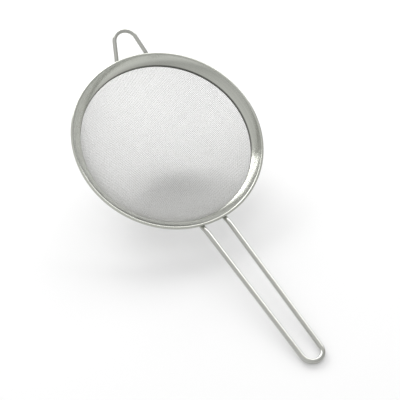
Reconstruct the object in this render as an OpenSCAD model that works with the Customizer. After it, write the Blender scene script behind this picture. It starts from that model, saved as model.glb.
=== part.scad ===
// Kitchen sieve with a funnel rim, a wire handle and a resting hook, in millimetres.
// It stands on a table as a sieve is laid down: on the bottom of its bowl and on the tip of its handle.
// Every piece is drawn in the rim's own frame and then laid down by rest_pose().
// Rim frame: the rim's centre is the origin, X runs to the handle, Z points out of the bowl.

/* [Rim] */
// Outer diameter, over the rolled edge
rim_d = 200; // [180:1:240]
// Width of the band seen from above, from the outer edge to the opening
band_w = 11; // [8:0.5:16]
// How far the inner edge of the band lies below the middle of the rolled edge
band_drop = 7.6; // [5:0.2:11]
// Thickness of the sheet steel
sheet_t = 0.6; // [0.4:0.1:0.9]
// Diameter of the rolled edge
bead_d = 3; // [2.4:0.1:4]
// How far round the rolled edge the band meets it, in degrees above its middle
bead_meet = 15; // [5:1:45]
// Width of the slit left where the rolled edge closes, in degrees of its turn
bead_slit = 40; // [20:1:60]
// Height of the collar turned down at the inner edge
collar_h = 3; // [2:0.1:5]
// Radius at which the collar is turned down, on the upper side
collar_bend_r = 1; // [0.9:0.1:1.5]

/* [Mesh bowl] */
// Depth of the bowl below the middle of the rolled edge
bowl_depth = 66; // [50:1:85]
// Thickness of the woven wire cloth
mesh_t = 0.5; // [0.3:0.1:1]

/* [Clamp ring] */
// Thickness of the ring that grips the mesh
ring_t = 0.6; // [0.4:0.1:1]
// Height of the ring's wall
ring_h = 3.4; // [2:0.1:6]
// Width of the ring's flange along the underside of the band
flange_w = 3.2; // [2:0.1:4]
// Gap between pieces pressed together
press_gap = 0.05; // [0.02:0.01:0.1]

/* [Handle] */
// Diameter of the handle's wire
wire_d = 5.1; // [3.5:0.1:6]
// Length of the handle past the rim, along its slope, to the middle of the wire at the tip
handle_l = 182; // [120:1:240]
// Distance between the two wires at the rim
handle_root_w = 26.2; // [20:0.2:34]
// Distance between the two wires where the round tip starts
handle_tip_w = 21.4; // [14:0.2:26]
// Slope of the handle above the plane of the rim, in degrees
handle_slope = 17.8; // [8:0.2:24]
// Distance past the rim at which the handle's wires bend
handle_bend_at = 8; // [6:0.5:14]
// Radius of that bend
bend_r = 12; // [8:1:16]

/* [Hook] */
// Diameter of the hook's wire
hook_wire_d = 4.6; // [3:0.1:5.4]
// Length of the hook past the rim, along its slope, to the middle of the wire at its end
hook_l = 31; // [24:1:45]
// Distance between the two wires at the rim
hook_root_w = 34.4; // [26:0.2:42]
// Distance between the two wires where the round end starts
hook_tip_w = 24.6; // [18:0.2:30]
// Slope of the hook above the plane of the rim, in degrees
hook_slope = 11.4; // [4:0.2:18]
// Distance past the rim at which the hook's wires bend
hook_bend_at = 3.5; // [3:0.5:8]
// Radius of that bend
hook_bend_r = 6; // [4:1:10]
// How far round the rim the hook is welded from the point opposite the handle, in degrees
hook_turn = -5; // [-10:0.5:10]

/* [Welds] */
// Distance from the band's inner edge to the end of a wire, along the band's slope
weld_inset = 5; // [4.6:0.1:6]
// Gap between a wire and the sheet that it lies against
weld_gap = 0.08; // [0.02:0.01:0.15]
// Radius of the weld metal
weld_r = 1.7; // [1.2:0.1:2.2]
// Length of the weld metal along the band's slope
weld_l = 2.6; // [1.5:0.1:4]

/* [Hidden] */
$fn = 96;
rim_steps = 180;
rod_steps = 48;
steel = "silver";
dark_steel = "gray";
tiny = 0.01;
corner_steps = 6;
roll_steps = 24;
bend_steps = 5;
round_steps = 20;
wire_sides = 24;
weld_fit = 0.02;

// Rim section, as radius and height
bead_r = bead_d / 2;
bead_x = rim_d / 2 - bead_r;
opening_r = rim_d / 2 - band_w;
band_top = [bead_x - bead_r * cos(bead_meet), bead_r * sin(bead_meet)];
band_foot = [opening_r, -band_drop];
band_angle = atan2(band_top.y - band_foot.y, band_top.x - band_foot.x);
band_along = [cos(band_angle), sin(band_angle)];
band_down = [sin(band_angle), -cos(band_angle)];
// The outer face of the collar and its lower edge
collar_out = opening_r + sheet_t;
collar_bottom = -band_drop - collar_h;

// Where the mesh is gripped, and the ball that the bowl is a cap of
mesh_in = collar_out + press_gap;
mesh_out = mesh_in + mesh_t;
cap_top = collar_bottom + press_gap;
cap_h = bowl_depth + cap_top;
ball_r = (mesh_out * mesh_out + cap_h * cap_h) / (2 * cap_h);
ball_z = ball_r - bowl_depth;
ring_in = mesh_out + press_gap;
ring_out = ring_in + ring_t;

// Points of an arc about a centre, from one angle to another
function arc(centre, r, from, to, steps) =
    [for (i = [0 : steps]) centre + r * [cos(from + (to - from) * i / steps), sin(from + (to - from) * i / steps)]];

// A point on the line that lies a distance d under the band's upper face
function under_band(along, d) = band_foot + band_along * along + band_down * d;
// Height of the underside of the band, less a gap, at a radius
function underside_z(x, gap) =
    let (start = under_band(0, sheet_t + gap))
    start.y + (x - start.x) * tan(band_angle);

// Side view of a wire: it starts under the band, touches the rolled edge from below and bends past the rim.
// At half_w from the middle the round rim lies nearer to the centre by rim_shift().
function rim_shift(half_w) = [sqrt(bead_x * bead_x - half_w * half_w) - bead_x, 0];
function root_point(d) = under_band(weld_inset, sheet_t + weld_gap + d / 2);
function root_slope(d) =
    let (to_bead = [bead_x, 0] - root_point(d))
    atan2(to_bead.y, to_bead.x) - asin((bead_r + weld_gap + d / 2) / norm(to_bead));
function bend_point(d, bend_at) =
    let (start = root_point(d), run = rim_d / 2 + bend_at - start.x)
    start + run * [1, tan(root_slope(d))];
function tip_point(d, bend_at, slope, len, half_w) =
    bend_point(d, bend_at) + rim_shift(half_w) + (len - bend_at) * [cos(slope), sin(slope)];

// The middle of a U of wire as points in the rim frame, from one end round the tip to the other
function wire_path(d, bend_at, slope, len, root_w, tip_w, radius) =
    let (
        shift = rim_shift(root_w / 2),
        rise = root_slope(d),
        turn = rise - slope,
        up = [cos(slope), sin(slope)],
        before_bend = bend_point(d, bend_at) + shift - radius * tan(turn / 2) * [cos(rise), sin(rise)],
        bend_mid = before_bend + radius * [sin(rise), -cos(rise)],
        round_r = tip_w / 2,
        round_mid = tip_point(d, bend_at, slope, len, root_w / 2) - round_r * up,
        // The legs lean in towards the tip
        lean = asin((root_w / 2 - round_r) / (len - round_r)),
        leg_end = round_mid + round_r * sin(lean) * up,
        side = concat(
            [root_point(d) + shift],
            arc(bend_mid, radius, 90 + rise, 90 + slope, bend_steps),
            [leg_end]
        ),
        rim_x = rim_d / 2 + shift.x,
        narrowing = (round_r * cos(lean) - root_w / 2) / (leg_end.x - rim_x),
        leg = [for (q = side) [q.x, root_w / 2 + (q.x - rim_x) * narrowing, q.y]],
        round_end = [
            for (i = [1 : round_steps - 1])
                let (a = (90 - lean) * (1 - 2 * i / round_steps), q = round_mid + round_r * cos(a) * up)
                [q.x, round_r * sin(a), q.y]
        ]
    )
    concat(leg, round_end, [for (i = [len(leg) - 1 : -1 : 0]) [leg[i].x, -leg[i].y, leg[i].z]]);

handle_tip = tip_point(wire_d, handle_bend_at, handle_slope, handle_l, handle_root_w / 2);
hook_tip = tip_point(hook_wire_d, hook_bend_at, hook_slope, hook_l, hook_root_w / 2);

// How the sieve lies: the floor touches the ball of the bowl and the wire at the handle's tip
tip_from_ball = handle_tip - [0, ball_z];
tilt = atan2(tip_from_ball.y, tip_from_ball.x) + asin((ball_r - wire_d / 2) / norm(tip_from_ball));
rim_z = ball_r - ball_z * cos(tilt);

// Ends of the whole sieve along X as it lies, which centre it on the origin
reach_front = handle_tip.x * cos(tilt) + handle_tip.y * sin(tilt) + wire_d / 2;
hook_round = hook_tip_w / 2;
hook_mid = hook_tip - hook_round * [cos(hook_slope), sin(hook_slope)];
hook_mid_x = hook_mid.x * cos(hook_turn) * cos(tilt) - hook_mid.y * sin(tilt);
hook_up_x = cos(hook_slope) * sin(tilt) - sin(hook_slope) * -cos(hook_turn) * cos(tilt);
reach_back = hook_mid_x + hook_round * sqrt(1 - hook_up_x * hook_up_x) + hook_wire_d / 2;
mid_x = (reach_front - reach_back) / 2;

// Lays the sieve down and puts the middle of its box over the origin
module rest_pose() {
    translate([-mid_x, 0, rim_z])
        rotate([0, tilt, 0])
            children();
}

// Mesh bowl: a cap of a ball with a straight edge strip that the collar and the ring grip
module bowl_section() {
    difference() {
        translate([0, ball_z])
            circle(r = ball_r, $fn = rim_steps);
        translate([0, ball_z])
            circle(r = ball_r - mesh_t, $fn = rim_steps);
        translate([-2 * ball_r, cap_top])
            square([4 * ball_r, 3 * ball_r]);
        translate([-2 * ball_r, -2 * ball_r])
            square([2 * ball_r, 4 * ball_r]);
    }
    translate([mesh_in, cap_top - tiny])
        square([mesh_t, mesh_edge_top - cap_top + tiny]);
}
mesh_edge_top = underside_z(mesh_out, press_gap) - tan(band_angle) * mesh_t;

module mesh_bowl() {
    color(steel)
        rest_pose()
            rotate_extrude($fn = rim_steps)
                bowl_section();
}

// Angle on a circle about the rolled edge at which it is met by a line along the band, which passes the
// circle's middle at a distance q
function meet_angle(r, q) = band_angle + 90 + acos(q / r);

// Rim band: one sheet that runs from the collar up the slope and round the rolled edge
module band_section() {
    bead = [bead_x, 0];
    hollow_r = bead_r - sheet_t;
    upper_q = bead_r * cos(90 - bead_meet - band_angle);
    under_q = upper_q - sheet_t;
    // The edge rolls over the top and back under the band, to the slit
    roll_start = 180 - bead_meet;
    roll_end = meet_angle(bead_r, under_q) + bead_slit - 360;
    // The corner where the slope turns down into the collar
    turn = 90 - band_angle;
    corner = band_foot + collar_bend_r * [1, -tan(turn / 2)];
    polygon(concat(
        [[opening_r, collar_bottom]],
        arc(corner, collar_bend_r, 180, 180 - turn, corner_steps),
        arc(bead, bead_r, roll_start, roll_end, roll_steps),
        arc(bead, hollow_r, roll_end, meet_angle(hollow_r, under_q), roll_steps),
        arc(corner, collar_bend_r - sheet_t, 180 - turn, 180, corner_steps),
        [[collar_out, collar_bottom]]
    ));
}

module rim_band() {
    color(steel)
        rest_pose()
            rotate_extrude($fn = rim_steps)
                band_section();
}

// Clamp ring: a wall round the edge of the mesh and a flange under the band
module ring_section() {
    wall_top = underside_z(ring_in, press_gap);
    outer_top = underside_z(ring_out, press_gap);
    flange_in = [ring_in, wall_top];
    flange_out = flange_in + band_along * flange_w;
    corner_z = outer_top - ring_t / cos(band_angle);
    polygon([
        flange_in,
        flange_out,
        flange_out + band_down * ring_t,
        [ring_out, corner_z],
        [ring_out, wall_top - ring_h],
        [ring_in, wall_top - ring_h]
    ]);
}

module mesh_clamp_ring() {
    color(dark_steel)
        rest_pose()
            rotate_extrude($fn = rim_steps)
                ring_section();
}

// A round wire along the points of a path, as rings of wire_sides corners joined one to the next
module swept_wire(d, path, slope) {
    last = len(path) - 1;
    plane_up = [-sin(slope), 0, cos(slope)];
    rings = [
        for (i = [0 : last])
            let (
                along = path[min(i + 1, last)] - path[max(i - 1, 0)],
                across = cross(along, plane_up) / norm(cross(along, plane_up)),
                up = cross(across, along) / norm(along)
            )
            for (k = [0 : wire_sides - 1])
                path[i] + d / 2 * (cos(360 * k / wire_sides) * across + sin(360 * k / wire_sides) * up)
    ];
    walls = [
        for (i = [0 : last - 1])
            for (k = [0 : wire_sides - 1])
                let (a = i * wire_sides + k, b = i * wire_sides + (k + 1) % wire_sides)
                for (face = [[a, b, b + wire_sides], [a, b + wire_sides, a + wire_sides]])
                    face
    ];
    first_cap = [for (k = [wire_sides - 1 : -1 : 0]) k];
    last_cap = [for (k = [0 : wire_sides - 1]) last * wire_sides + k];
    polyhedron(points = rings, faces = concat(walls, [first_cap, last_cap]), convexity = 6);
}

module handle_shape() {
    swept_wire(
        wire_d,
        wire_path(wire_d, handle_bend_at, handle_slope, handle_l, handle_root_w, handle_tip_w, bend_r),
        handle_slope
    );
}

module hook_shape() {
    rotate([0, 0, 180 + hook_turn])
        swept_wire(
            hook_wire_d,
            wire_path(hook_wire_d, hook_bend_at, hook_slope, hook_l, hook_root_w, hook_tip_w, hook_bend_r),
            hook_slope
        );
}

module handle_wire() {
    color(steel)
        rest_pose()
            handle_shape();
}

module hanging_hook() {
    color(steel)
        rest_pose()
            hook_shape();
}

// A straight rod along X
module rod(d, len) {
    rotate([0, 90, 0])
        cylinder(d = d, h = len, $fn = rod_steps);
}

// Weld metal between the end of a wire and the underside of the band, cut to fit round the wire
module weld_metal(d, half_w) {
    middle = under_band(weld_inset, sheet_t + weld_r / 2);
    wire_end = root_point(d);
    difference() {
        translate([middle.x + rim_shift(half_w).x, half_w, middle.y])
            rotate([0, -band_angle, 0]) {
                rod(2 * weld_r, weld_l);
                sphere(r = weld_r, $fn = rod_steps);
                translate([weld_l, 0, 0])
                    sphere(r = weld_r, $fn = rod_steps);
            }
        translate([wire_end.x + rim_shift(half_w).x, half_w, wire_end.y])
            rotate([0, -root_slope(d), 0])
                rod(d + 2 * weld_fit, 2 * band_w);
    }
}

// The space of the band and everything above it, which weld metal doesn't enter
module above_band() {
    rotate_extrude($fn = rim_steps)
        polygon([
            [0, underside_z(0, 0)],
            under_band(2 * band_w, sheet_t),
            [0, underside_z(2 * band_w, 0) + rim_d]
        ]);
}

module weld_pair(d, root_w) {
    for (side = [-1, 1])
        weld_metal(d, side * root_w / 2);
}

module handle_welds() {
    color(dark_steel)
        rest_pose()
            difference() {
                weld_pair(wire_d, handle_root_w);
                above_band();
            }
}

module hook_welds() {
    color(dark_steel)
        rest_pose()
            difference() {
                rotate([0, 0, 180 + hook_turn])
                    weld_pair(hook_wire_d, hook_root_w);
                above_band();
            }
}

mesh_bowl();
rim_band();
mesh_clamp_ring();
handle_wire();
hanging_hook();
handle_welds();
hook_welds();
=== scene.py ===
"""Dresses the kitchen sieve for close views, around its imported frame.

The bowl becomes woven wire, the rim a funnel of satin sheet steel with a rolled edge, and the handle and the
hook become round drawn wires. Lengths are in metres and angles in radians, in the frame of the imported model.
"""
from __future__ import annotations

import logging
import math
from dataclasses import dataclass
from enum import Enum
from typing import Iterable, Sequence

import bmesh
import bpy
import numpy as np
from mathutils import Matrix, Vector


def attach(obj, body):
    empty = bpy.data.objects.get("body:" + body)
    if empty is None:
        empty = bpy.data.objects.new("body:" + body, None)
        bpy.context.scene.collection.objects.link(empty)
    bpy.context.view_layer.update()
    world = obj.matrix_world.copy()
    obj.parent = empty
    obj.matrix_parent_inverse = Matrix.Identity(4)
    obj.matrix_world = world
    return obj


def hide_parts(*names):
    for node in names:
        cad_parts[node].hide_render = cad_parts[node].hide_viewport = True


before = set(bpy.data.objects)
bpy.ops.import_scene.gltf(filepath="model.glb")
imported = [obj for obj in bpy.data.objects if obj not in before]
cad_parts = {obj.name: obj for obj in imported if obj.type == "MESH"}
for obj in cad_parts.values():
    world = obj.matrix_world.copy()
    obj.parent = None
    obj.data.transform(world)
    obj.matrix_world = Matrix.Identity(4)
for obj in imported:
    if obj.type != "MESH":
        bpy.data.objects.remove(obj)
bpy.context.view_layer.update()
BODY = "root"
MM = 0.001

log = logging.getLogger("sieve")


class Slot(Enum):
    """The record's material slots."""

    WOVEN = "woven_wire"
    RIM = "rim_steel"
    RING = "ring_steel"
    WIRE = "wire_steel"
    WELD = "weld_steel"


# Shader graphs


class Value:
    """A number socket of a shader graph that takes part in Python arithmetic."""

    def __init__(self, graph: "Graph", socket: bpy.types.NodeSocket) -> None:
        """Wraps a socket.

        Args:
            graph: The graph that the socket belongs to.
            socket: An output socket that carries a number.
        """
        self.graph = graph
        self.socket = socket

    def math(self, operation: str, *values: "Value | float") -> "Value":
        """Adds a Math node.

        Args:
            operation: The Math node's operation.
            values: Its inputs.

        Returns:
            The node's result.
        """
        node = self.graph.node("ShaderNodeMath", {"operation": operation}, dict(enumerate(values)))
        return Value(self.graph, node.outputs[0])

    def __add__(self, other: "Value | float") -> "Value":
        """self + other."""
        return self.math("ADD", self, other)

    __radd__ = __add__

    def __sub__(self, other: "Value | float") -> "Value":
        """self - other."""
        return self.math("SUBTRACT", self, other)

    def __rsub__(self, other: float) -> "Value":
        """other - self."""
        return self.math("SUBTRACT", other, self)

    def __mul__(self, other: "Value | float") -> "Value":
        """self * other."""
        return self.math("MULTIPLY", self, other)

    __rmul__ = __mul__

    def __truediv__(self, other: "Value | float") -> "Value":
        """self / other."""
        return self.math("DIVIDE", self, other)

    def __rtruediv__(self, other: float) -> "Value":
        """other / self."""
        return self.math("DIVIDE", other, self)

    def __pow__(self, other: "Value | float") -> "Value":
        """self to the power of other."""
        return self.math("POWER", self, other)

    def clamped(self, low: float, high: float) -> "Value":
        """The value kept between two numbers."""
        raised = self.math("MAXIMUM", self, low)
        return self.math("MINIMUM", raised, high)


class Graph:
    """The nodes of one material or world."""

    def __init__(self, owner: bpy.types.Material | bpy.types.World) -> None:
        """Empties the owner's node tree.

        Args:
            owner: The material or world that the nodes belong to.
        """
        owner.use_nodes = True
        self.tree = owner.node_tree
        self.tree.nodes.clear()

    def node(
        self,
        kind: str,
        settings: dict[str, object] | None = None,
        inputs: dict[str | int, object] | None = None,
    ) -> bpy.types.Node:
        """Adds a node.

        Args:
            kind: The node's type.
            settings: Its properties, which are set first.
            inputs: A value, a Value or a socket for each named or numbered input.

        Returns:
            The new node.
        """
        node = self.tree.nodes.new(kind)
        for name, value in (settings or {}).items():
            setattr(node, name, value)
        for key, value in (inputs or {}).items():
            socket = node.inputs[key]
            if isinstance(value, Value):
                self.tree.links.new(value.socket, socket)
            elif isinstance(value, bpy.types.NodeSocket):
                self.tree.links.new(value, socket)
            else:
                socket.default_value = value
        return node

    def value(self, socket: bpy.types.NodeSocket) -> Value:
        """Wraps a socket for arithmetic."""
        return Value(self, socket)

    def noise(self, vector: bpy.types.NodeSocket, scale: float, detail: float = 2.0) -> Value:
        """Noise round nought, mostly between -0.5 and 0.5.

        Args:
            vector: Where it is read.
            scale: How many waves it has in a unit of the vector.
            detail: How many finer layers it has.

        Returns:
            The noise.
        """
        inputs = {"Vector": vector, "Scale": scale, "Detail": detail}
        node = self.node("ShaderNodeTexNoise", {"noise_dimensions": "3D"}, inputs)
        return self.value(node.outputs["Fac"]) - 0.5

    def vector(self, x: Value | float, y: Value | float, z: Value | float) -> bpy.types.NodeSocket:
        """Joins three numbers to a vector."""
        return self.node("ShaderNodeCombineXYZ", {}, {0: x, 1: y, 2: z}).outputs[0]

    def parts(self, vector: bpy.types.NodeSocket) -> tuple[Value, Value, Value]:
        """Splits a vector into its three numbers."""
        outputs = self.node("ShaderNodeSeparateXYZ", {}, {0: vector}).outputs
        return self.value(outputs[0]), self.value(outputs[1]), self.value(outputs[2])

    def blend(
        self, factor: Value, low: Sequence[float] | bpy.types.NodeSocket, high: Sequence[float]
    ) -> bpy.types.NodeSocket:
        """Mixes two colours.

        Args:
            factor: 0 for the first colour and 1 for the second.
            low: The first colour, as red, green and blue or as a socket.
            high: The second colour.

        Returns:
            The mixed colour.
        """
        node = self.node("ShaderNodeMix", {"data_type": "RGBA"})
        colours = [s for s in node.inputs if s.type == "RGBA"]
        if isinstance(low, bpy.types.NodeSocket):
            self.tree.links.new(low, colours[0])
        else:
            colours[0].default_value = (*low, 1.0)
        colours[1].default_value = (*high, 1.0)
        self.tree.links.new(factor.socket, node.inputs["Factor"])
        return next(s for s in node.outputs if s.type == "RGBA")

    def bump(self, height: Value, distance: float, strength: float = 1.0) -> bpy.types.NodeSocket:
        """A normal that is pushed about by a height.

        Args:
            height: The height, in units of distance.
            distance: How high a height of one is, in metres.
            strength: How much of the push is used.

        Returns:
            The normal.
        """
        inputs = {"Height": height, "Distance": distance, "Strength": strength}
        return self.node("ShaderNodeBump", {}, inputs).outputs[0]

    def surface(self, shader: bpy.types.NodeSocket, output: str = "ShaderNodeOutputMaterial") -> None:
        """Sends a shader to the output."""
        self.node(output, {}, {"Surface": shader})


# Where the sieve lies


@dataclass(frozen=True)
class Lay:
    """The rim's own frame: its centre, with X towards the handle and Z out of the bowl."""

    centre: Vector
    axis: Vector

    @classmethod
    def of_ring(cls, node: bpy.types.Object, above_centre: float) -> "Lay":
        """Measures how a ring lies.

        Args:
            node: A ring that is round about its axis.
            above_centre: How far its highest point stands over its centre plane.

        Returns:
            The frame of the ring.
        """
        places = np.array([v.co for v in node.data.vertices])
        axis = Vector(np.linalg.eigh(np.cov(places.T)).eigenvectors[:, 0])
        if axis.z < 0:
            axis.negate()
        turn = cls.turned(axis)
        local = places @ np.array(turn)
        low, high = local.min(axis=0), local.max(axis=0)
        middle = (low + high) / 2
        return cls(turn @ Vector((middle[0], middle[1], high[2] - above_centre)), axis)

    @staticmethod
    def turned(axis: Vector) -> Matrix:
        """The turn that lays the rim's Z along an axis, with its X towards the handle."""
        forward = Vector((0.0, 1.0, 0.0)).cross(axis).normalized()
        return Matrix((forward, axis.cross(forward), axis)).transposed()

    @property
    def matrix(self) -> Matrix:
        """The matrix from the rim's frame to the model's."""
        return Matrix.Translation(self.centre) @ self.turned(self.axis).to_4x4()


@dataclass(frozen=True)
class RimSizes:
    """Sizes of the rim and of what is fastened to it."""

    diameter: float = 200 * MM
    band_width: float = 11 * MM
    band_drop: float = 7.6 * MM
    sheet: float = 0.6 * MM
    bead: float = 3 * MM
    bead_meet: float = math.radians(15)
    bead_slit: float = math.radians(40)
    collar_height: float = 3 * MM
    collar_bend: float = 1 * MM
    gap: float = 0.05 * MM
    weld_inset: float = 5 * MM
    weld_gap: float = 0.08 * MM

    @property
    def bead_r(self) -> float:
        """Radius of the rolled edge."""
        return self.bead / 2

    @property
    def bead_x(self) -> float:
        """Distance of the rolled edge's middle from the rim's centre."""
        return self.diameter / 2 - self.bead_r

    @property
    def opening_r(self) -> float:
        """Radius of the opening inside the band."""
        return self.diameter / 2 - self.band_width

    @property
    def band_top(self) -> Vector:
        """Where the band's upper face meets the rolled edge, as radius and height."""
        reach = self.bead_r * math.cos(self.bead_meet)
        return Vector((self.bead_x - reach, self.bead_r * math.sin(self.bead_meet)))

    @property
    def band_foot(self) -> Vector:
        """Where the band's upper face would meet the collar's inner face."""
        return Vector((self.opening_r, -self.band_drop))

    @property
    def band_angle(self) -> float:
        """Slope of the band."""
        rise = self.band_top - self.band_foot
        return math.atan2(rise.y, rise.x)

    @property
    def collar_out(self) -> float:
        """Outer radius of the collar."""
        return self.opening_r + self.sheet

    @property
    def collar_bottom(self) -> float:
        """Height of the collar's lower edge."""
        return -self.band_drop - self.collar_height

    def under_band(self, along: float, below: float) -> Vector:
        """A place under the band.

        Args:
            along: Distance up the band's slope from its foot.
            below: Distance under its upper face.

        Returns:
            The place, as radius and height.
        """
        cos, sin = math.cos(self.band_angle), math.sin(self.band_angle)
        return self.band_foot + along * Vector((cos, sin)) + below * Vector((sin, -cos))

    def underside(self, radius: float, gap: float) -> float:
        """Height of the band's underside, less a gap, at a radius."""
        start = self.under_band(0.0, self.sheet + gap)
        return start.y + (radius - start.x) * math.tan(self.band_angle)


def arc(centre: Vector, radius: float, start: float, end: float, steps: int) -> list[Vector]:
    """Points of an arc in a plane.

    Args:
        centre: The arc's centre.
        radius: Its radius.
        start: The angle of its first point.
        end: The angle of its last point.
        steps: How many steps it takes.

    Returns:
        The points, both ends included.
    """
    angles = [start + (end - start) * i / steps for i in range(steps + 1)]
    return [centre + radius * Vector((math.cos(a), math.sin(a))) for a in angles]


# Pieces


def add_piece(name: str, mesh: bpy.types.Mesh, material: bpy.types.Material,
              replaced: Iterable[str] = ()) -> bpy.types.Object:
    """Puts a finished mesh into the scene as a piece of the sieve.

    Args:
        name: The piece's name.
        mesh: Its mesh, already in place.
        material: Its material.
        replaced: The nodes that it stands for.

    Returns:
        The new object.
    """
    mesh.materials.clear()
    mesh.materials.append(material)
    piece = bpy.data.objects.new(name, mesh)
    bpy.context.scene.collection.objects.link(piece)
    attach(piece, BODY)
    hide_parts(*replaced)
    log.info("%s: %d faces", name, len(mesh.polygons))
    return piece


def smooth(mesh: bpy.types.Mesh, sharp_over: float = math.radians(35)) -> None:
    """Shades a mesh smooth, with sharp edges where faces meet at more than an angle."""
    mesh.shade_smooth()
    mesh.set_sharp_from_angle(angle=sharp_over)


def spun_ring(name: str, section: Sequence[Vector], lay: Lay, steps: int) -> bpy.types.Mesh:
    """Spins a closed section round the rim's axis.

    Args:
        name: The mesh's name.
        section: The section's corners, as radius and height.
        lay: The rim's frame.
        steps: How many steps the full turn takes.

    Returns:
        The ring's mesh, in the model's frame.
    """
    shape = bmesh.new()
    corners = [shape.verts.new((corner.x, 0.0, corner.y)) for corner in section]
    edges = [shape.edges.new((a, b)) for a, b in zip(corners, corners[1:] + corners[:1])]
    bmesh.ops.spin(
        shape,
        geom=corners + edges,
        cent=(0.0, 0.0, 0.0),
        axis=(0.0, 0.0, 1.0),
        angle=math.tau,
        steps=steps,
        use_merge=True,
    )
    bmesh.ops.remove_doubles(shape, verts=shape.verts, dist=0.001 * MM)
    bmesh.ops.recalc_face_normals(shape, faces=shape.faces)
    bmesh.ops.transform(shape, matrix=lay.matrix, verts=shape.verts)
    mesh = bpy.data.meshes.new(name)
    shape.to_mesh(mesh)
    shape.free()
    smooth(mesh)
    return mesh


# Finishes


@dataclass(frozen=True)
class LatheSteel:
    """Satin sheet steel with fine lines that run round the rim, darkened with painted shade below the band's
    inner bend.
    """

    name: str
    lay: Lay
    colour: tuple[float, float, float] = (0.525, 0.535, 0.49)
    shade: float = 0.10
    roughness: float = 0.19
    roughness_swing: float = 0.10
    lines_per_m: float = 2600.0
    line_height: float = 0.004 * MM
    cloud_per_m: float = 30.0
    round_per_m: float = 5.0
    # Painted shade: below the height crease_z the colour darkens over a soft edge. It stands in for the shadow
    # in the gap at the band's inner bend, its collar and the clamp ring.
    crease_z: float = -7.0 * MM
    crease_soft: float = 0.5 * MM
    painted_crease_shade: float = 0.62

    def material(self) -> bpy.types.Material:
        """Makes the finish's material."""
        made = bpy.data.materials.new(self.name)
        graph = Graph(made)
        place = self.rim_place(graph)
        x, y, z = graph.parts(place)
        across = (x * x + y * y) ** 0.5 + z
        stretched = graph.vector(x * self.round_per_m, y * self.round_per_m, across * self.lines_per_m)
        lines = graph.noise(stretched, 1.0, 3.0)
        wide = graph.vector(x * self.round_per_m, y * self.round_per_m, across * (self.lines_per_m / 4))
        bands = graph.noise(wide, 1.0, 1.0)
        cloud = graph.noise(place, self.cloud_per_m, 3.0)
        light = (0.5 + lines * 0.9 + bands * 0.7 + cloud * 0.3).clamped(0.0, 1.0)
        # Painted shade mask: one below crease_z, where the inner bend, the collar and the ring lie in shadow.
        # It darkens the colour and roughens the surface.
        shaded_crease = ((self.crease_z - z) / self.crease_soft).clamped(0.0, 1.0)
        light = light * (1 - shaded_crease)
        low = tuple(c * (1 - self.shade) for c in self.colour)
        high = tuple(c * (1 + self.shade) for c in self.colour)
        # The painted shade's colour: the darker tone of the steel, darkened further.
        painted_shade_colour = tuple(c * (1 - self.painted_crease_shade) for c in low)
        inputs = {
            "Base Color": graph.blend(shaded_crease, graph.blend(light, low, high), painted_shade_colour),
            "Metallic": 1.0,
            "Roughness": self.roughness + (lines + cloud * 0.4 + shaded_crease) * self.roughness_swing,
            "Normal": graph.bump(lines + bands * 0.5, self.line_height),
        }
        graph.surface(graph.node("ShaderNodeBsdfPrincipled", {}, inputs).outputs[0])
        return made

    def rim_place(self, graph: Graph) -> bpy.types.NodeSocket:
        """The place on the surface in the rim's frame."""
        place = graph.node("ShaderNodeTexCoord").outputs["Object"]
        inputs = {
            "Vector": place,
            "Location": tuple(self.lay.centre),
            "Rotation": tuple(self.lay.matrix.to_euler()),
        }
        return graph.node("ShaderNodeMapping", {"vector_type": "TEXTURE"}, inputs).outputs[0]


@dataclass(frozen=True)
class DrawnSteel:
    """Bright round wire with faint lines from the drawing die."""

    name: str
    colour: tuple[float, float, float] = (0.49, 0.495, 0.465)
    shade: float = 0.06
    roughness: float = 0.18
    roughness_swing: float = 0.10
    lines_per_m: float = 3000.0
    along_per_m: float = 8.0
    line_height: float = 0.002 * MM
    cloud_per_m: float = 60.0

    def material(self) -> bpy.types.Material:
        """Makes the finish's material."""
        made = bpy.data.materials.new(self.name)
        graph = Graph(made)
        along, around, _ = graph.parts(graph.node("ShaderNodeUVMap", {"uv_map": WIRE_MAP}).outputs[0])
        stretched = graph.vector(along * self.along_per_m, around * self.lines_per_m, 0.0)
        lines = graph.noise(stretched, 1.0, 2.0)
        place = graph.node("ShaderNodeTexCoord").outputs["Object"]
        cloud = graph.noise(place, self.cloud_per_m, 3.0)
        light = (0.5 + lines * 0.8 + cloud).clamped(0.0, 1.0)
        low = tuple(c * (1 - self.shade) for c in self.colour)
        high = tuple(c * (1 + self.shade) for c in self.colour)
        inputs = {
            "Base Color": graph.blend(light, low, high),
            "Metallic": 1.0,
            "Roughness": self.roughness + (lines * 0.5 + cloud) * self.roughness_swing,
            "Normal": graph.bump(lines, self.line_height),
        }
        graph.surface(graph.node("ShaderNodeBsdfPrincipled", {}, inputs).outputs[0])
        return made


@dataclass(frozen=True)
class ClothSteel:
    """Fine wire of the woven cloth, duller where it was rubbed in washing."""

    name: str
    colour: tuple[float, float, float] = (0.42, 0.42, 0.40)
    shade: float = 0.08
    roughness: float = 0.32
    roughness_swing: float = 0.12
    cloud_per_m: float = 45.0
    grain_per_m: float = 1800.0
    grain_height: float = 0.003 * MM

    def material(self) -> bpy.types.Material:
        """Makes the finish's material."""
        made = bpy.data.materials.new(self.name)
        graph = Graph(made)
        place = graph.node("ShaderNodeTexCoord").outputs["Object"]
        cloud = graph.noise(place, self.cloud_per_m, 3.0)
        grain = graph.noise(place, self.grain_per_m, 1.0)
        light = (0.5 + cloud + grain * 0.6).clamped(0.0, 1.0)
        low = tuple(c * (1 - self.shade) for c in self.colour)
        high = tuple(c * (1 + self.shade) for c in self.colour)
        inputs = {
            "Base Color": graph.blend(light, low, high),
            "Metallic": 1.0,
            "Roughness": self.roughness + (cloud + grain * 0.5) * self.roughness_swing,
            "Normal": graph.bump(grain, self.grain_height),
        }
        graph.surface(graph.node("ShaderNodeBsdfPrincipled", {}, inputs).outputs[0])
        return made


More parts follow.
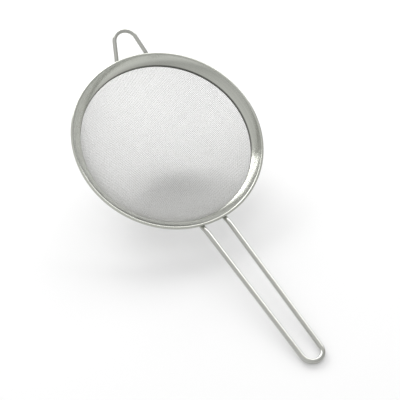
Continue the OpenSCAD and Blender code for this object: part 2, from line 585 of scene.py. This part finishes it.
@dataclass(frozen=True)
class WeldSteel:
    """Rough weld metal, browned by its heat."""

    name: str
    clean: tuple[float, float, float] = (0.45, 0.44, 0.42)
    browned: tuple[float, float, float] = (0.24, 0.17, 0.11)
    roughness: float = 0.5
    roughness_swing: float = 0.25
    grain_per_m: float = 1500.0
    grain_height: float = 0.03 * MM

    def material(self) -> bpy.types.Material:
        """Makes the finish's material."""
        made = bpy.data.materials.new(self.name)
        graph = Graph(made)
        place = graph.node("ShaderNodeTexCoord").outputs["Object"]
        grain = graph.noise(place, self.grain_per_m, 3.0)
        inputs = {
            "Base Color": graph.blend((0.5 + grain * 1.6).clamped(0.0, 1.0), self.clean, self.browned),
            "Metallic": 1.0,
            "Roughness": self.roughness + grain * self.roughness_swing,
            "Normal": graph.bump(grain, self.grain_height),
        }
        graph.surface(graph.node("ShaderNodeBsdfPrincipled", {}, inputs).outputs[0])
        return made


# The rim


@dataclass
class Rim:
    """The sheet steel band with its rolled edge, and the ring that clamps the cloth to it."""

    sizes: RimSizes
    lay: Lay
    ring_sheet: float = 0.6 * MM
    ring_height: float = 3.4 * MM
    flange: float = 3.2 * MM
    cloth: float = 0.5 * MM
    steps: int = 360
    roll_steps: int = 40
    corner_steps: int = 8

    def meet_angle(self, radius: float, passing: float) -> float:
        """Angle on a circle about the rolled edge at which a line along the band meets it."""
        return self.sizes.band_angle + math.pi / 2 + math.acos(passing / radius)

    def band_section(self) -> list[Vector]:
        """The band's section, from the collar up the slope and round the rolled edge."""
        size = self.sizes
        bead = Vector((size.bead_x, 0.0))
        hollow = size.bead_r - size.sheet
        upper = size.bead_r * math.cos(math.pi / 2 - size.bead_meet - size.band_angle)
        under = upper - size.sheet
        roll_end = self.meet_angle(size.bead_r, under) + size.bead_slit - math.tau
        turn = math.pi / 2 - size.band_angle
        corner = size.band_foot + size.collar_bend * Vector((1.0, -math.tan(turn / 2)))
        slope_side = math.pi - turn
        return [
            Vector((size.opening_r, size.collar_bottom)),
            *arc(corner, size.collar_bend, math.pi, slope_side, self.corner_steps),
            *arc(bead, size.bead_r, math.pi - size.bead_meet, roll_end, self.roll_steps),
            *arc(bead, hollow, roll_end, self.meet_angle(hollow, under), self.roll_steps),
            *arc(corner, size.collar_bend - size.sheet, slope_side, math.pi, self.corner_steps),
            Vector((size.collar_out, size.collar_bottom)),
        ]

    def ring_section(self) -> list[Vector]:
        """The clamp ring's section: a wall round the cloth and a flange under the band."""
        size = self.sizes
        inner = size.collar_out + 2 * size.gap + self.cloth
        outer = inner + self.ring_sheet
        angle = size.band_angle
        along = Vector((math.cos(angle), math.sin(angle)))
        down = Vector((math.sin(angle), -math.cos(angle)))
        top = size.underside(inner, size.gap)
        flange_out = Vector((inner, top)) + self.flange * along
        return [
            Vector((inner, top)),
            flange_out,
            flange_out + self.ring_sheet * down,
            Vector((outer, size.underside(outer, size.gap) - self.ring_sheet / math.cos(angle))),
            Vector((outer, top - self.ring_height)),
            Vector((inner, top - self.ring_height)),
        ]

    def build(self) -> None:
        """Builds the band and the clamp ring."""
        band = spun_ring("rolled_rim_band", self.band_section(), self.lay, self.steps)
        # The band's finish paints shade on its inner bend and collar, below crease_z.
        finish = LatheSteel("satin_rim", self.lay)
        add_piece(band.name, band, finish.material(), ["rim_band"])
        ring = spun_ring("cloth_clamp_ring", self.ring_section(), self.lay, self.steps)
        # The ring's finish paints the same shade on the part of the ring below crease_z.
        finish = LatheSteel("satin_ring", self.lay, colour=(0.49, 0.50, 0.46))
        add_piece(ring.name, ring, finish.material(), ["mesh_clamp_ring"])


# Bent wires

WIRE_MAP = "along_wire"


@dataclass
class BentWire:
    """A U of round wire whose two ends reach under the band."""

    name: str
    node: str
    sizes: RimSizes
    lay: Lay
    diameter: float
    bend_at: float
    slope: float
    length: float
    root_width: float
    tip_width: float
    bend_r: float
    turned: float
    bend_steps: int = 10
    round_steps: int = 48
    leg_steps: int = 24
    sides: int = 32
    chamfer: float = 0.4 * MM

    def rim_shift(self) -> Vector:
        """How much nearer to the centre the round rim lies beside the middle line."""
        half = self.root_width / 2
        return Vector((math.sqrt(self.sizes.bead_x**2 - half**2) - self.sizes.bead_x, 0.0))

    def side_view(self) -> tuple[Vector, Vector, float, Vector]:
        """The end, the bend's centre, the first slope and the tip, as distance out and height."""
        size = self.sizes
        rest = size.weld_gap + self.diameter / 2
        root = size.under_band(size.weld_inset, size.sheet + rest)
        to_bead = Vector((size.bead_x, 0.0)) - root
        rise = math.atan2(to_bead.y, to_bead.x) - math.asin((size.bead_r + rest) / to_bead.length)
        run = size.diameter / 2 + self.bend_at - root.x
        bend = root + run * Vector((1.0, math.tan(rise)))
        shift = self.rim_shift()
        up = Vector((math.cos(self.slope), math.sin(self.slope)))
        tip = bend + shift + (self.length - self.bend_at) * up
        trim = self.bend_r * math.tan((rise - self.slope) / 2)
        before = bend + shift - trim * Vector((math.cos(rise), math.sin(rise)))
        centre = before + self.bend_r * Vector((math.sin(rise), -math.cos(rise)))
        return root + shift, centre, rise, tip

    def path(self) -> list[Vector]:
        """The wire's middle line in the rim's frame, before it is turned round the rim."""
        root, centre, rise, tip = self.side_view()
        up = Vector((math.cos(self.slope), math.sin(self.slope)))
        round_r, half = self.tip_width / 2, self.root_width / 2
        middle = tip - round_r * up
        lean = math.asin((half - round_r) / (self.length - round_r))
        leg_end = middle + round_r * math.sin(lean) * up
        quarter = math.pi / 2
        bend = arc(centre, self.bend_r, quarter + rise, quarter + self.slope, self.bend_steps)
        far = [bend[-1].lerp(leg_end, i / self.leg_steps) for i in range(1, self.leg_steps + 1)]
        near = [root.lerp(bend[0], i / self.bend_steps) for i in range(self.bend_steps)]
        rim_x = self.sizes.diameter / 2 + self.rim_shift().x
        narrowing = (round_r * math.cos(lean) - half) / (leg_end.x - rim_x)
        leg = [Vector((q.x, half + (q.x - rim_x) * narrowing, q.y)) for q in near + bend + far]
        turn = []
        for i in range(1, self.round_steps):
            angle = (quarter - lean) * (1 - 2 * i / self.round_steps)
            place = middle + round_r * math.cos(angle) * up
            turn.append(Vector((place.x, round_r * math.sin(angle), place.y)))
        other = [Vector((q.x, -q.y, q.z)) for q in reversed(leg)]
        return leg + turn + other

    def stations(self) -> list[Matrix]:
        """A frame at each point of the path, with Z along the wire."""
        path = self.path()
        upright = Vector((-math.sin(self.slope), 0.0, math.cos(self.slope)))
        frames = []
        for i, place in enumerate(path):
            ahead = path[min(i + 1, len(path) - 1)] - path[max(i - 1, 0)]
            ahead.normalize()
            side = ahead.cross(upright).normalized()
            turn = Matrix((side, ahead.cross(side), ahead)).transposed()
            frames.append(Matrix.Translation(place) @ turn.to_4x4())
        return frames

    def build(self, material: bpy.types.Material) -> None:
        """Sweeps the wire and adds it to the scene.

        Args:
            material: The wire's material.
        """
        frames = self.stations()
        shape = bmesh.new()
        uv = shape.loops.layers.uv.new(WIRE_MAP)
        start = bmesh.ops.create_circle(shape, segments=self.sides, radius=self.diameter / 2)["verts"]
        bmesh.ops.transform(shape, matrix=frames[0], verts=start)
        ring = list(start)
        edges = list({edge for vert in ring for edge in vert.link_edges})
        along = 0.0
        lap = math.pi * self.diameter / self.sides
        for last, here in zip(frames, frames[1:]):
            made = bmesh.ops.extrude_edge_only(shape, edges=edges)["geom"]
            moved = [item for item in made if isinstance(item, bmesh.types.BMVert)]
            bmesh.ops.transform(shape, matrix=here @ last.inverted(), verts=moved)
            step = (here.translation - last.translation).length
            self.write_map(made, last, here, uv, along, step, lap)
            edges = [item for item in made if self.joins(item, moved)]
            ring, along = moved, along + step
        self.close_end(shape, start)
        self.close_end(shape, ring)
        bmesh.ops.recalc_face_normals(shape, faces=shape.faces)
        placed = self.lay.matrix @ Matrix.Rotation(self.turned, 4, "Z")
        bmesh.ops.transform(shape, matrix=placed, verts=shape.verts)
        mesh = bpy.data.meshes.new(self.name)
        shape.to_mesh(mesh)
        shape.free()
        smooth(mesh)
        add_piece(self.name, mesh, material, [self.node])

    @staticmethod
    def joins(item: object, verts: list[bmesh.types.BMVert]) -> bool:
        """True for an edge whose two ends are both among some vertices."""
        return isinstance(item, bmesh.types.BMEdge) and all(v in verts for v in item.verts)

    def write_map(
        self,
        made: Iterable[object],
        last: Matrix,
        here: Matrix,
        uv: bmesh.types.BMLayerItem,
        along: float,
        step: float,
        lap: float,
    ) -> None:
        """Writes distance along and round the wire on the faces of one step.

        Args:
            made: What the step's extrusion made.
            last: The frame where the step begins.
            here: The frame where it ends.
            uv: The map to write on.
            along: Distance along the wire at the step's beginning.
            step: The step's length.
            lap: Width of one flat side.
        """
        back, front = last.inverted(), here.inverted()
        for face in (item for item in made if isinstance(item, bmesh.types.BMFace)):
            places = []
            for loop in face.loops:
                at_back = back @ loop.vert.co
                at_front = front @ loop.vert.co
                behind = abs(at_back.z) < abs(at_front.z)
                local = at_back if behind else at_front
                side = round(math.atan2(local.y, local.x) / math.tau * self.sides) % self.sides
                places.append([loop, 0.0 if behind else step, side])
            wraps = max(p[2] for p in places) - min(p[2] for p in places) > 1
            for loop, ahead, side in places:
                lapped = side + (self.sides if wraps and side == 0 else 0)
                loop[uv].uv = (along + ahead, lapped * lap)

    def close_end(self, shape: bmesh.types.BMesh, ring: Sequence[bmesh.types.BMVert]) -> None:
        """Closes one end of the wire with a flat face and a small chamfer."""
        inside = set(ring)
        rim = list({e for v in ring for e in v.link_edges if all(w in inside for w in e.verts)})
        face = bmesh.ops.contextual_create(shape, geom=rim)["faces"]
        bmesh.ops.bevel(
            shape,
            geom=rim,
            offset=self.chamfer,
            offset_type="OFFSET",
            affect="EDGES",
            segments=2,
            profile=0.5,
            material=-1,
        )
        log.info("%s: closed an end with %d face", self.name, len(face))


# The woven bowl


@dataclass
class WovenBowl:
    """A plain weave of warp and weft wires, drawn down into a bowl like a net over a ball."""

    sizes: RimSizes
    lay: Lay
    depth: float = 66 * MM
    pitch: float = 1.55 * MM
    wire: float = 0.3 * MM
    shell: float = 0.5 * MM
    weave_turn: float = math.radians(14)
    tuck: float = 1.4 * MM
    clear: float = 0.01 * MM
    groups: int = 3

    @property
    def edge_r(self) -> float:
        """Outer radius of the cloth where the ring grips it."""
        return self.sizes.collar_out + self.sizes.gap + self.shell

    @property
    def cap_top(self) -> float:
        """Height of the ball's cut edge."""
        return self.sizes.collar_bottom + self.sizes.gap

    @property
    def ball_r(self) -> float:
        """Radius of the ball that the bowl's outside is a cap of."""
        height = self.depth + self.cap_top
        return (self.edge_r**2 + height**2) / (2 * height)

    @property
    def ball_z(self) -> float:
        """Height of the ball's centre."""
        return self.ball_r - self.depth

    @property
    def middle_r(self) -> float:
        """Radius of the cloth's middle."""
        return self.ball_r - self.wire - self.clear

    def knots(self) -> dict[tuple[int, int], Vector]:
        """Where the wires cross, as directions from the ball's centre.

        Two wires run straight out from the bottom of the bowl. Every other crossing is a pitch away from the
        two before it, so it is the mirror image of the crossing behind them.

        Returns:
            A direction for each pair of wire numbers.
        """
        step = self.pitch / self.middle_r
        reach = math.acos((self.ball_z - self.cap_top) / self.ball_r)
        count = math.ceil(reach / step) + 2
        quarter: dict[tuple[int, int], Vector] = {}
        for i in range(count):
            quarter[i, 0] = Vector((math.sin(i * step), 0.0, -math.cos(i * step)))
            quarter[0, i] = Vector((0.0, math.sin(i * step), -math.cos(i * step)))
        for i in range(count - 1):
            for j in range(count - 1):
                mirror = quarter[i + 1, j].cross(quarter[i, j + 1]).normalized()
                behind = quarter[i, j]
                quarter[i + 1, j + 1] = behind - 2 * behind.dot(mirror) * mirror
        turn = Matrix.Rotation(self.weave_turn, 3, "Z")
        knots = {}
        for (i, j), place in quarter.items():
            for a in {i, -i}:
                for b in {j, -j}:
                    side_a, side_b = math.copysign(1, a), math.copysign(1, b)
                    knots[a, b] = turn @ Vector((place.x * side_a, place.y * side_b, place.z))
        return knots

    def wire_path(self, line: Sequence[Vector], parity: int) -> list[Vector]:
        """The middle line of one crimped wire, tucked up behind the collar at both ends.

        Args:
            line: The crossings along the wire, as directions.
            parity: 0 if the wire passes outside the other at its first crossing, or 1.

        Returns:
            The points of the wire in the rim's frame, or none if it stays outside the bowl.
        """
        centre = Vector((0.0, 0.0, self.ball_z))
        lift = self.wire / 2
        points = []
        for i, (here, ahead) in enumerate(zip(line, line[1:])):
            outward = 1 if (i + parity) % 2 == 0 else -1
            for share, side in ((0.25, outward), (0.75, -outward)):
                aim = here.lerp(ahead, share).normalized()
                points.append(centre + (self.middle_r + side * lift) * aim)
        inside = [p.z < self.cap_top for p in points]
        if not any(inside):
            return []
        first = inside.index(True)
        last = len(inside) - 1 - inside[::-1].index(True)
        kept = points[first:last + 1]
        if first == 0 or last == len(points) - 1 or len(kept) < 2:
            return []
        start = self.tucked(points[first - 1], kept[0])
        end = self.tucked(points[last + 1], kept[-1])
        return [*start, *kept, *reversed(end)]

    def tucked(self, beyond: Vector, kept: Vector) -> list[Vector]:
        """The end of a wire, which turns up between the collar and the ring.

        Args:
            beyond: The next point past the bowl's edge.
            kept: The last point inside it.

        Returns:
            Two points, the end first.
        """
        share = (self.cap_top - kept.z) / (beyond.z - kept.z)
        edge = kept.lerp(beyond, share)
        out = Vector((edge.x, edge.y)).normalized() * (self.edge_r - self.shell / 2)
        return [Vector((out.x, out.y, self.cap_top + self.tuck)), Vector((out.x, out.y, self.cap_top))]

    def families(self) -> dict[str, list[list[Vector]]]:
        """The paths of the warp and weft wires, in order across the bowl."""
        knots = self.knots()
        count = max(i for i, _ in knots)
        numbers = range(-count, count + 1)
        warp, weft = [], []
        for i in numbers:
            across = [knots[i, j] for j in numbers if (i, j) in knots]
            down = [knots[j, i] for j in numbers if (j, i) in knots]
            warp.append(self.wire_path(across, (i + count) % 2))
            weft.append(self.wire_path(down, (i + count + 1) % 2))
        return {"warp": [w for w in warp if w], "weft": [w for w in weft if w]}

    def build(self) -> None:
        """Weaves the bowl, as a few pieces of neighbouring wires each."""
        material = ClothSteel("woven_steel").material()
        for family, wires in self.families().items():
            log.info("%s: %d wires", family, len(wires))
            for group in range(self.groups):
                part = wires[len(wires) * group // self.groups:len(wires) * (group + 1) // self.groups]
                mesh = self.swept(f"{family}_wires_{group + 1}", part)
                add_piece(mesh.name, mesh, material, ["mesh_bowl"])

    def swept(self, name: str, wires: Sequence[Sequence[Vector]]) -> bpy.types.Mesh:
        """Turns wire paths into one mesh of round wires.

        Args:
            name: The mesh's name.
            wires: The paths of the wires, in the rim's frame.

        Returns:
            The mesh, in the model's frame.
        """
        curve = bpy.data.curves.new(name, "CURVE")
        curve.dimensions = "3D"
        curve.bevel_depth = self.wire / 2
        curve.bevel_resolution = 1
        curve.use_fill_caps = True
        for wire in wires:
            spline = curve.splines.new("POLY")
            spline.points.add(len(wire) - 1)
            spline.points.foreach_set("co", [c for point in wire for c in (*point, 1.0)])
        drawn = bpy.data.objects.new(name, curve)
        mesh = bpy.data.meshes.new_from_object(drawn)
        bpy.data.objects.remove(drawn)
        bpy.data.curves.remove(curve)
        mesh.name = name
        mesh.transform(self.lay.matrix)
        mesh.shade_smooth()
        return mesh


# The studio


@dataclass(frozen=True)
class SoftLamp:
    """A wide soft light that faces the sieve.

    Its azimuth is nought to the view's right and a quarter turn straight behind the sieve.
    """

    name: str
    azimuth: float
    elevation: float
    distance: float
    size: tuple[float, float]
    watts: float

    def build(self, view_azimuth: float) -> None:
        """Builds the light.

        Args:
            view_azimuth: The way to the view's right, as an angle from X.
        """
        light = bpy.data.lights.new(self.name, "AREA")
        light.shape = "RECTANGLE"
        light.size, light.size_y = self.size
        light.energy = self.watts
        lamp = bpy.data.objects.new(self.name, light)
        turn = view_azimuth + self.azimuth
        flat = math.cos(self.elevation)
        place = Vector((flat * math.cos(turn), flat * math.sin(turn), math.sin(self.elevation)))
        lamp.location = place * self.distance
        lamp.rotation_euler = place.to_track_quat("Z", "Y").to_euler()
        bpy.context.scene.collection.objects.link(lamp)


@dataclass
class Studio:
    """A pale floor with painted shade further out, two soft lights behind the sieve and a room with a brighter
    side.
    """

    floor: float = 6.0
    floor_colour: tuple[float, float, float] = (0.84, 0.84, 0.84)
    floor_white: float = 0.20
    # Painted shade: the floor's darker colour far from the sieve, and the two distances over which it fades
    # in.
    floor_far: float = 0.52
    dim_reach: tuple[float, float] = (0.42, 0.80)
    room: float = 0.56
    room_rise: float = 0.30
    room_side: float = 0.15
    bright_side: float = math.radians(205)
    view_azimuth: float = math.radians(58.85)
    lamps: tuple[SoftLamp, ...] = (
        SoftLamp("soft_key", math.radians(86), math.radians(33), 2.2, (3.4, 1.45), 42.0),
        SoftLamp("soft_side", math.radians(128), math.radians(29), 1.6, (1.1, 0.66), 10.5),
    )

    def build(self) -> None:
        """Builds the floor, the light and the room."""
        self.build_floor()
        for lamp in self.lamps:
            lamp.build(self.view_azimuth)
        world = bpy.data.worlds.new("room")
        graph = Graph(world)
        x, y, z = graph.parts(graph.node("ShaderNodeTexCoord").outputs["Generated"])
        side = self.view_azimuth + self.bright_side
        facing = x * math.cos(side) + y * math.sin(side)
        level = self.room + z.clamped(0.0, 1.0) * self.room_rise + facing * self.room_side
        light = graph.node("ShaderNodeBackground", {}, {"Color": (1.0, 1.0, 1.0, 1.0), "Strength": level})
        graph.surface(light.outputs[0], "ShaderNodeOutputWorld")
        bpy.context.scene.world = world
        bpy.context.scene.view_settings.view_transform = "Standard"

    @staticmethod
    def fade(away: Value, reach: tuple[float, float]) -> Value:
        """Rises from nought to one between two distances."""
        near, far = reach
        return ((away - near) / (far - near)).clamped(0.0, 1.0)

    def build_floor(self) -> None:
        """Builds the floor, which looks white but keeps the shadow, and whose colour is painted darker further
        from the sieve.
        """
        shape = bmesh.new()
        bmesh.ops.create_grid(shape, x_segments=1, y_segments=1, size=self.floor / 2)
        mesh = bpy.data.meshes.new("table_top")
        shape.to_mesh(mesh)
        shape.free()
        made = bpy.data.materials.new("white_table")
        graph = Graph(made)
        white = graph.node("ShaderNodeEmission", {}, {"Color": (1.0, 1.0, 1.0, 1.0), "Strength": 1.0})
        path = graph.node("ShaderNodeLightPath").outputs
        direct, mirrored = graph.value(path["Is Camera Ray"]), graph.value(path["Is Glossy Ray"])
        x, y, _ = graph.parts(graph.node("ShaderNodeTexCoord").outputs["Object"])
        away = (x * x + y * y) ** 0.5
        share = (direct + mirrored + graph.value(path["Is Transmission Ray"])) * self.floor_white
        # Painted shade: the floor's colour darkens from floor_colour to floor_far between the two distances of
        # dim_reach, so that the metal mirrors a darker floor further out.
        painted_falloff = self.fade(away, self.dim_reach)
        dark = (self.floor_far, self.floor_far, self.floor_far)
        colour = graph.blend(painted_falloff, self.floor_colour, dark)
        matt = graph.node("ShaderNodeBsdfDiffuse", {}, {"Color": colour})
        inputs = {0: share, 1: matt.outputs[0], 2: white.outputs[0]}
        graph.surface(graph.node("ShaderNodeMixShader", {}, inputs).outputs[0])
        mesh.materials.append(made)
        floor = bpy.data.objects.new("table_top", mesh)
        bpy.context.scene.collection.objects.link(floor)


@dataclass
class PhotoCamera:
    """The camera, which looks at the sieve from the photo's side."""

    lay: Lay
    azimuth: float = math.radians(58.85)
    elevation: float = math.radians(44.45)
    rim_in_view: tuple[float, float, float] = (-0.03175, 0.0629, -1.170)
    focal_px: float = 1150.0
    image_px: float = 400.0
    sensor: float = 36.0

    def build(self) -> None:
        """Builds the camera and makes it the scene's."""
        data = bpy.data.cameras.new("photo_camera")
        data.sensor_width = self.sensor
        data.lens = self.sensor * self.focal_px / self.image_px
        data.clip_start = 0.01
        camera = bpy.data.objects.new("photo_camera", data)
        tilt = Matrix.Rotation(math.pi / 2 - self.elevation, 3, "X")
        turn = Matrix.Rotation(self.azimuth, 3, "Z") @ tilt
        place = self.lay.centre - turn @ Vector(self.rim_in_view)
        camera.matrix_world = Matrix.Translation(place) @ turn.to_4x4()
        bpy.context.scene.collection.objects.link(camera)
        bpy.context.scene.camera = camera


def dress_welds() -> None:
    """Gives the four welds their own finish."""
    material = WeldSteel("browned_weld").material()
    for name in ("handle_welds", "hook_welds"):
        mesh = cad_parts[name].data
        mesh.materials.clear()
        mesh.materials.append(material)
        log.info("%s: dressed", name)


def main() -> None:
    """Builds the sieve, the studio and the camera."""
    logging.basicConfig(level=logging.INFO, format="%(name)s: %(message)s")
    sizes = RimSizes()
    lay = Lay.of_ring(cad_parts["rim_band"], sizes.bead_r)
    PhotoCamera(lay).build()
    Rim(sizes, lay).build()
    WovenBowl(sizes, lay).build()
    wire = DrawnSteel("drawn_wire").material()
    BentWire(
        "long_handle_wire", "handle_wire", sizes, lay, diameter=5.1 * MM, bend_at=8 * MM,
        slope=math.radians(17.8), length=182 * MM, root_width=26.2 * MM, tip_width=21.4 * MM,
        bend_r=12 * MM, turned=0.0,
    ).build(wire)
    BentWire(
        "short_hook_wire", "hanging_hook", sizes, lay, diameter=4.6 * MM, bend_at=3.5 * MM,
        slope=math.radians(11.4), length=31 * MM, root_width=34.4 * MM, tip_width=24.6 * MM,
        bend_r=6 * MM, turned=math.radians(175), leg_steps=6,
    ).build(wire)
    dress_welds()
    Studio().build()


if __name__ == "__main__":
    main()
